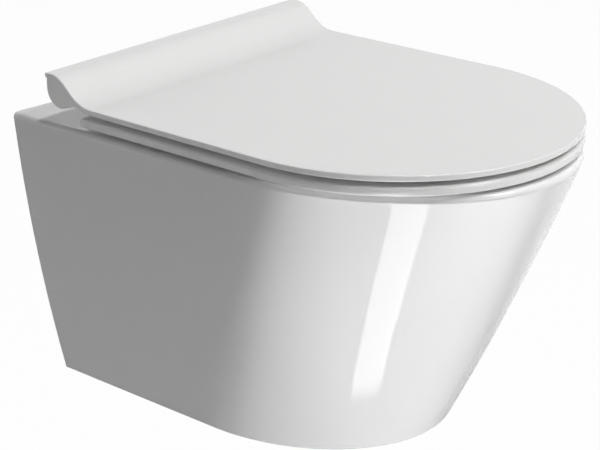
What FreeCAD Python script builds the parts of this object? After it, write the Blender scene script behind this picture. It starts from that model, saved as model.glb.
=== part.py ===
import FreeCAD
import Part
import math
import os

from FreeCAD import Vector

# Wall hung toilet, millimetres. The origin is on the finished wall, midway between the two wall studs.
# +Z is up, the front points to -Y, and +X is to the right of somebody who faces the wall.

# ---------------------------------------------------------------- driving sizes: pan
DECK_Z = 88.0            # flat top of the rim and of the deck behind it
RIM_RADIUS = 4.5         # rounding of the rim's outer top edge
PAN_BOTTOM_Z = -198.0
# half width, length of the straight sides and reach from the wall, where side and deck would meet unrounded
PAN_TOP = (180.5, 244.3, 493.3)
PAN_BOTTOM = (130.7, 202.0, 365.0)    # the same three at the bottom edge
SIDE_BULGE = 5.8         # how far the side stands out of a straight taper, half way down
FRONT_BULGE = 4.1
SKIRT_WALL = 11.0
DECK_THICKNESS = 14.0
REAR_HOLLOW = 9.4        # the rear edge of the deck is a shallow arc, so only the sides touch the wall
REAR_HOLLOW_HALF_WIDTH = 168.0
WEB_FRONT_Y = -28.0      # upright ceramic web behind the bowl, which the wall fixings clamp
WEB_BOTTOM_Z = -42.0
BOWL_WALL = 9.0
# height, middle, half width, reach to the front and reach to the back of the bowl's inside
BOWL_LEVELS = (
    (88.0, -299.0, 116.0, 142.0, 134.0),
    (55.0, -299.0, 117.0, 143.0, 135.0),
    (5.0, -297.0, 101.0, 124.0, 118.0),
    (-50.0, -293.0, 66.0, 78.0, 80.0),
    (-90.0, -290.0, 36.0, 38.0, 38.0),
    (-108.0, -290.0, 30.0, 30.0, 30.0),
)
BOWL_LIP_RADIUS = 7.0
BOTTOM_EDGE_R = 2.5
LOFT_STEPS = 4
BEHIND_WALL = 5.0        # the pan is made this much too deep and then cut square at the wall

# ---------------------------------------------------------------- driving sizes: water ways
TRAP_START = (-290.0, -112.0)         # y and z where the trap's first bend begins
TRAP_START_RUN = 8.0     # straight drop above it
TRAP_BORE_R = 28.0
TRAP_WALL = 8.0
TRAP_BEND_R = 40.0
TRAP_CLIMB = 50.0        # degrees of the climb to the weir and of the fall behind it
WEIR_Z = -71.0           # lowest point of the passage over the weir, which sets the water level
OUTLET_Z = -100.0
OUTLET_R = 51.0
OUTLET_BORE_R = 44.0
OUTLET_END_Y = -6.0
OUTLET_LENGTH = 40.0     # plain round end that the waste socket takes
HORN_R = 54.0
HORN_FRONT_Y = -88.0
INLET_Z = 35.0
INLET_SOCKET_R = 27.5
INLET_SOCKET_DEPTH = 52.0
INLET_CHANNEL_R = 19.0
INLET_WALL = 8.0
INLET_HOOD = 20.0        # the socket's outer wall runs on this far past its depth
FLUSH_CHANNEL_SHORT = 40.0            # the channel's bore stops this far before the bowl's far lip
FLUSH_PIPE_R = 22.5
INLET_SEAL_Y = (-44.0, -9.9)

# ---------------------------------------------------------------- driving sizes: wall fixings
STUD_SPACING = 180.0
STUD_HOLE_R = 11.0
STUD_CLEARANCE_R = 6.1   # an M12 stud with a little room
ACCESS_HALF_WIDTH = 34.0
ACCESS_Y = (-90.0, -20.0)
SLEEVE_GAP = 0.3
STUD_FLANGE = (18.0, 3.0)             # radius and thickness
STUD_WASHER = (16.0, 2.5)
STUD_WASHER_SLACK = 0.4
STUD_NUT_FLATS = 19.0
STUD_NUT_HEIGHT = 10.5

# ---------------------------------------------------------------- driving sizes: seat and lid
LID_TOP_Z = 110.0
LID_HALF_WIDTH = 176.6
LID_STRAIGHT = 302.4     # distance from the wall at which the rounded front begins
LID_NOSE = 183.8
LID_THICKNESS = 5.6
WING_THICKNESS = 4.8
WING_TOP_Z = 135.0
WING_REAR_Y = -43.3
WING_CREST_Y = -60.0     # where the wing's flat top would meet its slope with no rounding
WING_SLOPE = 43.2        # degrees
WING_CREST_R = 27.0
WING_FOOT_R = 38.0
LID_EDGE_R = 1.0
BARREL_CENTRE = (-61.5, 120.6)
BARREL_R = 17.0
BARREL_RAMP = 17.6       # degrees of the flat that runs from the barrel up to the lid's underside
BARREL_RAMP_LENGTH = 24.0
BARREL_LIP = 0.6         # the lid overhangs the end of its barrel by this much
RING_INSET = 0.1
RING_REAR_Y = -87.0
RING_BOTTOM_Z = 91.5
RING_TOP_Z = 99.6
RING_EDGE_R = 3.0
SEAT_HOLE_HALF_WIDTH = 110.0
SEAT_HOLE_FRONT = 120.0  # reach of the rounded front of the hole from LID_STRAIGHT
SEAT_HOLE_REAR_Y = -215.0
SEAT_HOLE_REAR = 62.0
RING_UNDER_EDGE_R = 1.2
ARM_ROOT_Y = -112.0      # where the arms that reach back to the hinge grow out of the ring
ARM_TOP_Y = -92.0
ARM_UNDER_Y = -84.0
SEAT_BUMPERS = ((146.0, -175.0, 0.0), (122.0, -388.0, 30.0))    # x, y and turn in degrees
SEAT_BUMPER_SIZE = (26.0, 11.0)
LID_BUMPERS = ((147.0, -240.0, 0.0), (52.0, -444.0, 70.0))
LID_BUMPER_SIZE = (20.0, 9.0)

# ---------------------------------------------------------------- driving sizes: hinge
HINGE_Y = -58.5
HINGE_Z = 114.5
HINGE_HOLE_X = 77.5
HINGE_HOLE_R = 8.0
PIN_R = 4.0
PIN_INNER_X = 46.0
PIN_OUTER_X = 160.0
RUNNING_GAP = 0.05
BLOCK_HALF_WIDTH = 12.5
BLOCK_HALF_DEPTH = 11.0
BLOCK_SHOULDER_Z = 106.0
BLOCK_EDGE_R = 3.0
KNUCKLE_R = 9.0
SIDE_GAP = 1.2
SEAT_KNUCKLE_WIDTH = 34.0
CARTRIDGE_R = 7.0
SEAT_CARTRIDGE_LENGTH = 30.0
LID_CARTRIDGE_LENGTH = 32.0
ROSETTE_R = 20.0
ROSETTE_TOP_Z = 92.0
POST_R = 5.0
POST_TOP_Z = 107.0
POST_GROOVE_R = 4.2
POST_PLAY = 0.08
POST_STUD_R = 4.0
POST_STUD_BOTTOM_Z = 36.0
POST_SLEEVE_BOTTOM_Z = 52.0
POST_NUT_HEIGHT = 9.0
POST_NUT_FLATS = 15.0
BUTTON_SIZE = (14.0, 4.0, 8.0)        # width, depth and height of the part that is pressed
BUTTON_Z = 98.1
BUTTON_REST_Y = -12.6    # front face of the button, from the hinge line
BUTTON_TRAVEL = 2.0
BUTTON_GAP = 0.3
YOKE_THICKNESS = 2.0
YOKE_HALF_WIDTH = 8.3
YOKE_REAR_Y = 7.4
CATCH_GAP = 0.35         # between the post and the long hole of the catch

PEG_R = 2.5              # pegs of the soft bumpers
PEG_LENGTH = 3.0
FAR = 600.0              # past the end of anything
HAIR = 0.01


# ---------------------------------------------------------------- shared shapes
def quarter(centre_x, centre_y, reach_x, reach_y, z):
    """A quarter ellipse from the side point to the front or rear point; the reaches' signs pick it."""
    centre = Vector(centre_x, centre_y, z)
    side = Vector(centre_x + reach_x, centre_y, z)
    end = Vector(centre_x, centre_y + reach_y, z)
    if abs(reach_y) >= abs(reach_x):
        ellipse = Part.Ellipse(end, side, centre)
    else:
        ellipse = Part.Ellipse(side, end, centre)
    return Part.ArcOfEllipse(ellipse, 0.0, math.pi / 2).toShape()


def line(a, b):
    return Part.LineSegment(Vector(*a), Vector(*b)).toShape()


def closed_wire(edges):
    return Part.Wire(Part.__sortEdges__(edges))


def d_outline(half_width, straight, reach, z, rear_y=0.0):
    """A plan view with straight sides from the rear to the distance straight, and an elliptic nose."""
    nose = reach - straight
    return closed_wire([
        line((-half_width, rear_y, z), (half_width, rear_y, z)),
        line((half_width, rear_y, z), (half_width, -straight, z)),
        quarter(0, -straight, half_width, -nose, z),
        quarter(0, -straight, -half_width, -nose, z),
        line((-half_width, -straight, z), (-half_width, rear_y, z)),
    ])


def egg_outline(centre_y, half_width, front, rear, z):
    """A closed oval with its own reach to the front and to the rear of its widest line."""
    return closed_wire([
        quarter(0, centre_y, half_width, -front, z),
        quarter(0, centre_y, -half_width, -front, z),
        quarter(0, centre_y, -half_width, rear, z),
        quarter(0, centre_y, half_width, rear, z),
    ])


def prism(wire, height):
    return Part.Face(wire).extrude(Vector(0, 0, height))


def box(x, y, z):
    """A box between pairs of low and high coordinates."""
    return Part.makeBox(x[1] - x[0], y[1] - y[0], z[1] - z[0], Vector(x[0], y[0], z[0]))


def rod(start, end, radius):
    """A cylinder between two points."""
    a = Vector(*start)
    along = Vector(*end) - a
    return Part.makeCylinder(radius, along.Length, a, along)


def tube(start, end, radius, bore):
    return rod(start, end, radius).cut(rod(start, end, bore))


def hexagon(start, end, across_flats, bore):
    """A hexagonal nut with a plain hole, between two points on its axis."""
    a = Vector(*start)
    along = Vector(*end) - a
    corner = across_flats / math.sqrt(3)
    points = [Vector(corner * math.cos(math.radians(60 * i)), corner * math.sin(math.radians(60 * i)), 0)
              for i in range(7)]
    nut = Part.Face(Part.makePolygon(points)).extrude(Vector(0, 0, along.Length))
    nut.Placement = FreeCAD.Placement(a, FreeCAD.Rotation(Vector(0, 0, 1), along))
    return nut.cut(rod(start, end, bore))


def slab(corners, x0, x1):
    """A closed polygon of (y, z) corners, extruded from x0 to x1."""
    points = [Vector(x0, y, z) for y, z in corners + corners[:1]]
    return Part.Face(Part.makePolygon(points)).extrude(Vector(x1 - x0, 0, 0))


def rounded_profile(corners, x0, x1):
    """A closed profile of (y, z, radius) corners with tangent arcs, extruded from x0 to x1."""
    edges = []
    last = None
    count = len(corners)
    first = None
    for i in range(count):
        y, z, radius = corners[i]
        here = Vector(x0, y, z)
        before = Vector(x0, *corners[i - 1][:2]) - here
        after = Vector(x0, *corners[(i + 1) % count][:2]) - here
        before.normalize()
        after.normalize()
        start, end = here, here
        if radius:
            half = before.getAngle(after) / 2
            start = here + before * (radius / math.tan(half))
            end = here + after * (radius / math.tan(half))
            middle = before + after
            middle.normalize()
            mid = here + middle * (radius / math.sin(half) - radius)
        if last is not None:
            edges.append(Part.LineSegment(last, start).toShape())
        else:
            first = start
        if radius:
            edges.append(Part.Arc(start, mid, end).toShape())
        last = end
    edges.append(Part.LineSegment(last, first).toShape())
    return Part.Face(Part.Wire(edges)).extrude(Vector(x1 - x0, 0, 0))


def stadium(centre, length, width, z0, z1, turn=0.0):
    """A pad with round ends, its length along Y and then turned about Z by turn degrees."""
    half = (length - width) / 2
    shape = box((-width / 2, width / 2), (-half, half), (z0, z1))
    for y in (-half, half):
        shape = shape.fuse(rod((0, y, z0), (0, y, z1), width / 2))
    shape = shape.removeSplitter()
    shape.rotate(Vector(0, 0, 0), Vector(0, 0, 1), turn)
    shape.translate(Vector(centre[0], centre[1], 0))
    return shape


def fuse_all(shapes):
    return shapes[0].multiFuse(shapes[1:]).removeSplitter()


def fillet_edges(shape, radius, wanted):
    edges = [edge for edge in shape.Edges if wanted(edge)]
    return shape.makeFillet(radius, edges)


# ---------------------------------------------------------------- pan
def pan_section(z, inset=0.0, rear_y=0.0):
    """Plan outline of the pan at a height, set in by inset all round."""
    s = (DECK_Z - z) / (DECK_Z - PAN_BOTTOM_Z)
    width, straight, reach = (a + (b - a) * s for a, b in zip(PAN_TOP, PAN_BOTTOM))
    width += 4 * SIDE_BULGE * s * (1 - s)
    reach += 4 * FRONT_BULGE * s * (1 - s)
    return d_outline(width - inset, straight, reach - inset, z, rear_y)


def steps(low, high):
    return [low + (high - low) * i / LOFT_STEPS for i in range(LOFT_STEPS + 1)]


def pan_outside():
    """The outside of the pan as one block: the tapered skirt with its rounded rim."""
    skirt = Part.makeLoft([pan_section(z, 0.0, BEHIND_WALL) for z in steps(PAN_BOTTOM_Z, DECK_Z)], True)

    def top_edge(edge):
        return edge.BoundBox.ZMin > DECK_Z - HAIR and edge.BoundBox.YMin < -1

    rounded = fillet_edges(skirt, RIM_RADIUS, top_edge)
    return rounded.common(box((-FAR, FAR), (-FAR, 0), (-FAR, FAR)))


def skirt_cavity():
    """The room between skirt and bowl, open to the wall."""
    heights = steps(PAN_BOTTOM_Z + SKIRT_WALL, DECK_Z - DECK_THICKNESS)
    return Part.makeLoft([pan_section(z, SKIRT_WALL, 20.0) for z in heights], True)


def bowl(wall):
    """The bowl's inside, grown by the wall's thickness."""
    sections = [egg_outline(middle, half + wall, front + wall, rear + wall, z)
                for z, middle, half, front, rear in BOWL_LEVELS]
    return Part.makeLoft(sections, True)


def trap_path():
    """The trap's centre line in the YZ plane, as (kind, data) pieces: down, up to the weir, down again."""
    climb = math.radians(TRAP_CLIMB)
    r = TRAP_BEND_R
    y, z = TRAP_START
    pieces = [("run", (y, z + TRAP_START_RUN), (y, z))]
    centre = (y + r, z)
    pieces.append(("bend", centre, 180.0, 90.0 + TRAP_CLIMB, r))
    y, z = centre[0] + r * math.sin(climb), centre[1] - r * math.cos(climb)
    peak = WEIR_Z + TRAP_BORE_R
    rise = peak - r * (1 - math.cos(climb)) - z
    run = rise / math.sin(climb)
    ahead = (y + run * math.cos(climb), z + rise)
    pieces.append(("run", (y, z), ahead))
    centre = (ahead[0] + r * math.sin(climb), ahead[1] - r * math.cos(climb))
    pieces.append(("bend", centre, 90.0 + TRAP_CLIMB, -2 * TRAP_CLIMB, r))
    y, z = centre[0] + r * math.sin(climb), ahead[1]
    fall = z - OUTLET_Z
    ahead = (y + fall / math.tan(climb), OUTLET_Z)
    pieces.append(("run", (y, z), ahead))
    return pieces


def trap(radius):
    """A round passage along the trap's centre line."""
    shapes = []
    for piece in trap_path():
        if piece[0] == "run":
            (y0, z0), (y1, z1) = piece[1:]
            shapes.append(rod((0, y0, z0), (0, y1, z1), radius))
        else:
            (cy, cz), start, sweep, bend = piece[1:]
            angle = math.radians(start)
            y, z = cy + bend * math.cos(angle), cz + bend * math.sin(angle)
            tangent = Vector(0, -math.sin(angle), math.cos(angle))
            disc = Part.Face(Part.Wire(Part.makeCircle(radius, Vector(0, y, z), tangent)))
            shapes.append(disc.revolve(Vector(0, cy, cz), Vector(1, 0, 0), sweep))
    return fuse_all(shapes)


def water_ways():
    """Walls and bores of the flush inlet, the trap and the outlet."""
    def along(start_y, end_y, z, radius):
        return rod((0, start_y, z), (0, end_y, z), radius)

    shoulder_y = OUTLET_END_Y - OUTLET_LENGTH
    bowl_rear_y = BOWL_LEVELS[1][1] + BOWL_LEVELS[1][4]
    behind = 10.0
    walls = [
        trap(TRAP_BORE_R + TRAP_WALL),
        along(HORN_FRONT_Y, shoulder_y, OUTLET_Z, HORN_R),
        along(shoulder_y, OUTLET_END_Y, OUTLET_Z, OUTLET_R),
        along(WEB_FRONT_Y + 5, -INLET_SOCKET_DEPTH - INLET_HOOD, INLET_Z, INLET_SOCKET_R + INLET_WALL),
        along(-INLET_SOCKET_DEPTH, bowl_rear_y, INLET_Z, INLET_CHANNEL_R + INLET_WALL),
    ]
    bores = [
        trap(TRAP_BORE_R),
        along(HORN_FRONT_Y + TRAP_WALL, behind, OUTLET_Z, OUTLET_BORE_R),
        along(behind, -INLET_SOCKET_DEPTH, INLET_Z, INLET_SOCKET_R),
        along(1 - INLET_SOCKET_DEPTH, bowl_rear_y - FLUSH_CHANNEL_SHORT, INLET_Z, INLET_CHANNEL_R),
    ]
    return walls, bores


def rear_hollow():
    """The shallow arc that is taken off the rear of the deck and of the web."""
    half = REAR_HOLLOW_HALF_WIDTH
    arc = Part.Arc(Vector(-half, 0, 0), Vector(0, -REAR_HOLLOW, 0), Vector(half, 0, 0)).toShape()
    relief = prism(Part.Wire([arc, line((half, 0, 0), (-half, 0, 0))]), FAR)
    relief.translate(Vector(0, 0, WEB_BOTTOM_Z))
    return relief


def fixing_holes():
    """Holes for the wall studs and the seat, and openings in the floor to reach the stud nuts."""
    holes = []
    for side in (-1, 1):
        x = side * STUD_SPACING / 2
        floor_opening = ((x - ACCESS_HALF_WIDTH, x + ACCESS_HALF_WIDTH), ACCESS_Y,
                         (PAN_BOTTOM_Z - 1, PAN_BOTTOM_Z + SKIRT_WALL + 1))
        holes.append(box(*floor_opening))
        holes.append(rod((x, WEB_FRONT_Y - 1, 0), (x, 1, 0), STUD_HOLE_R))
        x = side * HINGE_HOLE_X
        holes.append(rod((x, HINGE_Y, DECK_Z - 2 * DECK_THICKNESS), (x, HINGE_Y, DECK_Z + 1), HINGE_HOLE_R))
    return holes


def make_pan():
    outside = pan_outside()
    hollow = rear_hollow()
    web_top_z = DECK_Z - DECK_THICKNESS / 2
    web = box((-PAN_TOP[0], PAN_TOP[0]), (WEB_FRONT_Y, 0), (WEB_BOTTOM_Z, web_top_z))
    web = web.common(outside).cut(hollow)
    deck_relief = hollow.common(box((-FAR, FAR), (-FAR, FAR), (DECK_Z - DECK_THICKNESS, DECK_Z + 1)))
    pan = outside.cut(skirt_cavity()).cut(deck_relief)
    walls, bores = water_ways()
    for piece in [web, bowl(BOWL_WALL)] + walls:
        pan = pan.fuse(piece)
    for piece in [bowl(0.0)] + bores + fixing_holes():
        pan = pan.cut(piece)

    def on_lip(edge):
        lip_z, middle, half, front, rear = BOWL_LEVELS[0]
        b = edge.BoundBox
        within = abs(b.Center.x) < half and middle - front < b.Center.y < middle + rear
        return b.ZMin > lip_z - HAIR and within

    def on_bottom(edge):
        b = edge.BoundBox
        widest = max(abs(b.XMin), abs(b.XMax))
        return b.ZMax < PAN_BOTTOM_Z + HAIR and b.YLength > 1 and widest > PAN_BOTTOM[0] - 1

    pan = fillet_edges(pan.removeSplitter(), BOWL_LIP_RADIUS, on_lip)
    return fillet_edges(pan, BOTTOM_EDGE_R, on_bottom)


# ---------------------------------------------------------------- lid
def wing_corners():
    """The corners of the lid's side view, top first: a flat lid, a slope up and a flat wing."""
    slope = math.radians(WING_SLOPE)
    rise = WING_TOP_Z - LID_TOP_Z
    foot_y = WING_CREST_Y - rise / math.tan(slope)
    thin, thick = WING_THICKNESS, LID_THICKNESS
    below_crest_y = WING_CREST_Y + (thin / math.cos(slope) - thin) / math.tan(slope)
    drop = (WING_TOP_Z - thin) - (LID_TOP_Z - thick)
    below_foot_y = below_crest_y - drop / math.tan(slope)
    top = [(-FAR, LID_TOP_Z, 0), (foot_y, LID_TOP_Z, WING_FOOT_R),
           (WING_CREST_Y, WING_TOP_Z, WING_CREST_R), (WING_REAR_Y, WING_TOP_Z, 0)]
    under = [(WING_REAR_Y, WING_TOP_Z - thin, 0), (below_crest_y, WING_TOP_Z - thin, WING_CREST_R - thin),
             (below_foot_y, LID_TOP_Z - thick, WING_FOOT_R + thin), (-FAR, LID_TOP_Z - thick, 0)]
    return top, under


def barrel_profile(x0, x1):
    """The barrel under the wing, round below with a flat ramp, cut off at the lid's top surface."""
    cy, cz = BARREL_CENTRE
    ramp = math.radians(BARREL_RAMP)
    tangent_y, tangent_z = cy - BARREL_R * math.sin(ramp), cz - BARREL_R * math.cos(ramp)
    end_y = tangent_y - BARREL_RAMP_LENGTH * math.cos(ramp)
    end_z = tangent_z + BARREL_RAMP_LENGTH * math.sin(ramp)
    back_y = cy + BARREL_R
    corners = [(back_y, cz), (cy, cz), (tangent_y, tangent_z), (end_y, end_z), (end_y, WING_TOP_Z),
               (back_y, WING_TOP_Z)]
    barrel = rod((x0, cy, cz), (x1, cy, cz), BARREL_R).fuse(slab(corners, x0, x1))
    top = wing_corners()[0]
    behind_y = WING_REAR_Y + 5
    below_top = top[:3] + [(behind_y, WING_TOP_Z, 0), (behind_y, 0, 0), (-FAR, 0, 0)]
    return barrel.common(rounded_profile(below_top, x0 - 1, x1 + 1))


def barrel_spans():
    """Where the lid's barrel runs along X: one long piece in the middle and one at each end."""
    inner = HINGE_HOLE_X - BLOCK_HALF_WIDTH - SIDE_GAP
    outer = HINGE_HOLE_X + BLOCK_HALF_WIDTH + 2 * SIDE_GAP + SEAT_KNUCKLE_WIDTH
    end = LID_HALF_WIDTH - BARREL_LIP
    return [(-end, -outer), (-inner, inner), (outer, end)]


def lid_cartridge_start():
    return barrel_spans()[2][0] + 1.5


def make_lid():
    top, under = wing_corners()
    sheet = rounded_profile(top + under, -LID_HALF_WIDTH - 5, LID_HALF_WIDTH + 5)
    outline = d_outline(LID_HALF_WIDTH, LID_STRAIGHT, LID_STRAIGHT + LID_NOSE, DECK_Z, WING_REAR_Y)
    plate = sheet.common(prism(outline, WING_TOP_Z - DECK_Z + 1))

    def on_rim(edge):
        b = edge.BoundBox
        along_side = abs(abs(b.Center.x) - LID_HALF_WIDTH) < HAIR and b.YLength > 10 * HAIR
        on_nose = b.YMax < -LID_STRAIGHT + 1 and b.ZLength < 10 * HAIR
        at_rear = b.YMin > WING_REAR_Y - HAIR and b.XLength > LID_HALF_WIDTH
        return along_side or on_nose or at_rear

    plate = fillet_edges(plate, LID_EDGE_R, on_rim)
    lid = fuse_all([plate] + [barrel_profile(a, b) for a, b in barrel_spans()])
    lid = lid.cut(rod((-PIN_OUTER_X - 1, HINGE_Y, HINGE_Z), (PIN_OUTER_X + 1, HINGE_Y, HINGE_Z),
                      PIN_R + RUNNING_GAP))
    start = lid_cartridge_start()
    for side in (-1, 1):
        lid = lid.cut(rod((side * (start - 5), HINGE_Y, HINGE_Z),
                          (side * (start + LID_CARTRIDGE_LENGTH), HINGE_Y, HINGE_Z), CARTRIDGE_R))
    under_z = LID_TOP_Z - LID_THICKNESS
    for x, y, turn in both_sides(LID_BUMPERS):
        lid = lid.cut(rod((x, y, under_z - 1), (x, y, under_z + PEG_LENGTH), PEG_R + RUNNING_GAP))
    return lid


# ---------------------------------------------------------------- seat ring
def seat_knuckle_start():
    return HINGE_HOLE_X + BLOCK_HALF_WIDTH + SIDE_GAP


def ring_outline():
    half_width = LID_HALF_WIDTH - RING_INSET
    reach = LID_STRAIGHT + LID_NOSE - RING_INSET
    return d_outline(half_width, LID_STRAIGHT, reach, RING_BOTTOM_Z, RING_REAR_Y)


def ring_hole():
    half, z = SEAT_HOLE_HALF_WIDTH, RING_BOTTOM_Z
    edges = []
    for side in (-half, half):
        edges.append(quarter(0, -LID_STRAIGHT, side, -SEAT_HOLE_FRONT, z))
        edges.append(line((side, -LID_STRAIGHT, z), (side, SEAT_HOLE_REAR_Y, z)))
        edges.append(quarter(0, SEAT_HOLE_REAR_Y, side, SEAT_HOLE_REAR, z))
    return closed_wire(edges)


def knuckle_point(degrees):
    """A point just inside the knuckle's surface, so many degrees below the level line to the front."""
    angle = math.radians(degrees)
    radius = KNUCKLE_R - RUNNING_GAP
    return HINGE_Y - radius * math.cos(angle), HINGE_Z - radius * math.sin(angle)


def make_seat_ring():
    height = RING_TOP_Z - RING_BOTTOM_Z
    ring = prism(ring_outline(), height).cut(prism(ring_hole(), height))

    def top_edge(edge):
        return edge.BoundBox.ZMin > RING_TOP_Z - HAIR and edge.BoundBox.YMin < RING_REAR_Y - 0.1

    def bottom_edge(edge):
        return edge.BoundBox.ZMax < RING_BOTTOM_Z + HAIR and edge.BoundBox.YMin < RING_REAR_Y - 0.1

    ring = fillet_edges(ring, RING_EDGE_R, top_edge)
    ring = fillet_edges(ring, RING_UNDER_EDGE_R, bottom_edge)
    arm = [(ARM_ROOT_Y, RING_TOP_Z - 0.5), (ARM_TOP_Y, RING_TOP_Z), knuckle_point(33), (HINGE_Y, HINGE_Z),
           knuckle_point(80), (ARM_UNDER_Y, RING_BOTTOM_Z), (ARM_ROOT_Y, RING_BOTTOM_Z + 0.5)]
    start = seat_knuckle_start()
    end = start + SEAT_KNUCKLE_WIDTH
    pieces = [ring]
    for side in (-1, 1):
        x0, x1 = sorted((side * start, side * end))
        pieces.append(slab(arm, x0, x1))
        pieces.append(rod((x0, HINGE_Y, HINGE_Z), (x1, HINGE_Y, HINGE_Z), KNUCKLE_R))
    seat = fuse_all(pieces)
    for side in (-1, 1):
        mouth = (side * (start - 1), HINGE_Y, HINGE_Z)
        seat = seat.cut(rod(mouth, (side * (end + 1), HINGE_Y, HINGE_Z), PIN_R + RUNNING_GAP))
        seat = seat.cut(rod(mouth, (side * (start + SEAT_CARTRIDGE_LENGTH), HINGE_Y, HINGE_Z), CARTRIDGE_R))
    for x, y, turn in both_sides(SEAT_BUMPERS):
        peg_top = (x, y, RING_BOTTOM_Z + PEG_LENGTH)
        seat = seat.cut(rod((x, y, RING_BOTTOM_Z - 1), peg_top, PEG_R + RUNNING_GAP))
    return seat


def both_sides(places):
    return [(side * x, y, side * turn) for side in (-1, 1) for x, y, turn in places]


def make_bumpers(places, size, z0, z1):
    """Soft pads, each with a peg that plugs up into the piece above it."""
    pads = []
    for x, y, turn in both_sides(places):
        pad = stadium((x, y), *size, z0, z1, turn)
        pads.append(pad.fuse(rod((x, y, z1 - 1), (x, y, z1 + PEG_LENGTH - 0.3), PEG_R)).removeSplitter())
    return Part.Compound(pads)


# ---------------------------------------------------------------- hinge
def make_hinge_block(side):
    """The block that drops over the post on the deck and holds the hinge pin."""
    x = side * HINGE_HOLE_X
    xs = (x - BLOCK_HALF_WIDTH, x + BLOCK_HALF_WIDTH)
    front_y, rear_y = HINGE_Y - BLOCK_HALF_DEPTH, HINGE_Y + BLOCK_HALF_DEPTH
    block = box(xs, (front_y, rear_y), (ROSETTE_TOP_Z, BLOCK_SHOULDER_Z))
    block = fillet_edges(block, BLOCK_EDGE_R, lambda edge: edge.BoundBox.ZLength > 5)
    neck = box(xs, (HINGE_Y - KNUCKLE_R, HINGE_Y + KNUCKLE_R), (BLOCK_SHOULDER_Z - 1, HINGE_Z))
    head = rod((xs[0], HINGE_Y, HINGE_Z), (xs[1], HINGE_Y, HINGE_Z), KNUCKLE_R)
    block = fuse_all([block, neck, head])
    block = block.cut(rod((xs[0] - 1, HINGE_Y, HINGE_Z), (xs[1] + 1, HINGE_Y, HINGE_Z), PIN_R))
    room_top = (x, HINGE_Y, POST_TOP_Z + 10 * POST_PLAY)
    block = block.cut(rod((x, HINGE_Y, ROSETTE_TOP_Z - 1), room_top, POST_R + POST_PLAY))
    width, depth, height = BUTTON_SIZE
    pocket_y = HINGE_Y + BUTTON_REST_Y + depth + BUTTON_TRAVEL + BUTTON_GAP
    pocket = box((x - width / 2 - BUTTON_GAP, x + width / 2 + BUTTON_GAP), (front_y - 1, pocket_y),
                 (BUTTON_Z - height / 2 - BUTTON_GAP, BUTTON_Z + height / 2 + BUTTON_GAP))
    slot_x, slot_z = YOKE_HALF_WIDTH + BUTTON_GAP, YOKE_THICKNESS / 2 + BUTTON_GAP
    slot_end_y = HINGE_Y + YOKE_REAR_Y + BUTTON_TRAVEL + BUTTON_GAP
    slot = box((x - slot_x, x + slot_x), (pocket_y - 3, slot_end_y), (BUTTON_Z - slot_z, BUTTON_Z + slot_z))
    return block.cut(pocket).cut(slot)


def make_release_button(side):
    """Button and catch in one piece: a plate with a long hole that slides on the post's groove."""
    x = side * HINGE_HOLE_X
    width, depth, height = BUTTON_SIZE
    front = HINGE_Y + BUTTON_REST_Y
    head = box((x - width / 2, x + width / 2), (front, front + depth),
               (BUTTON_Z - height / 2, BUTTON_Z + height / 2))
    head = fillet_edges(head, 0.8, lambda edge: edge.BoundBox.YMax < front + HAIR)
    z0, z1 = BUTTON_Z - YOKE_THICKNESS / 2, BUTTON_Z + YOKE_THICKNESS / 2
    neck = box((x - width / 2 + 1, x + width / 2 - 1), (front + depth - 1, front + depth + 2), (z0, z1))
    plate = box((x - YOKE_HALF_WIDTH, x + YOKE_HALF_WIDTH),
                (front + depth + BUTTON_TRAVEL - 1, HINGE_Y + YOKE_REAR_Y), (z0, z1))
    hole_r = POST_R + CATCH_GAP
    front_y = HINGE_Y - BUTTON_TRAVEL
    hole = box((x - hole_r, x + hole_r), (front_y, HINGE_Y), (z0 - 1, z1 + 1))
    for y in (front_y, HINGE_Y):
        hole = hole.fuse(rod((x, y, z0 - 1), (x, y, z1 + 1), hole_r))
    return fuse_all([head, neck, plate]).cut(hole)


def make_hinge_post(side):
    """Turned steel post: the block sits on its upper end, and its threaded stud goes through the deck."""
    x = side * HINGE_HOLE_X
    post = rod((x, HINGE_Y, ROSETTE_TOP_Z), (x, HINGE_Y, POST_TOP_Z), POST_R)
    post = post.makeChamfer(1.0, [edge for edge in post.Edges if edge.BoundBox.ZMin > POST_TOP_Z - HAIR])
    half = YOKE_THICKNESS / 2 + BUTTON_GAP + 0.2
    low, high = (x, HINGE_Y, BUTTON_Z - half), (x, HINGE_Y, BUTTON_Z + half)
    post = post.cut(tube(low, high, POST_R + 1, POST_GROOVE_R))
    stud = rod((x, HINGE_Y, POST_STUD_BOTTOM_Z), (x, HINGE_Y, ROSETTE_TOP_Z), POST_STUD_R)
    return post.fuse(stud).removeSplitter()


def make_hinge_rosette(side):
    x = side * HINGE_HOLE_X
    disc = rod((x, HINGE_Y, DECK_Z), (x, HINGE_Y, ROSETTE_TOP_Z), ROSETTE_R)
    disc = fillet_edges(disc, 1.2, lambda edge: edge.BoundBox.ZMin > ROSETTE_TOP_Z - HAIR)
    hole = rod((x, HINGE_Y, DECK_Z - 1), (x, HINGE_Y, ROSETTE_TOP_Z + 1), POST_STUD_R + RUNNING_GAP)
    return disc.cut(hole)


def make_hinge_pin(side):
    pin = rod((side * PIN_INNER_X, HINGE_Y, HINGE_Z), (side * PIN_OUTER_X, HINGE_Y, HINGE_Z), PIN_R)
    return pin.makeChamfer(0.6, [edge for edge in pin.Edges if edge.BoundBox.XLength < HAIR])


def make_cartridge(start, length, side):
    """A sleeve around the hinge pin: a damper with stiff grease on one side, a plain bush on the other."""
    return tube((side * start, HINGE_Y, HINGE_Z), (side * (start + length), HINGE_Y, HINGE_Z),
                CARTRIDGE_R, PIN_R + RUNNING_GAP)


# ---------------------------------------------------------------- small fixings, each a left and right pair
def pair(make):
    return Part.Compound([make(side) for side in (-1, 1)])


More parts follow.
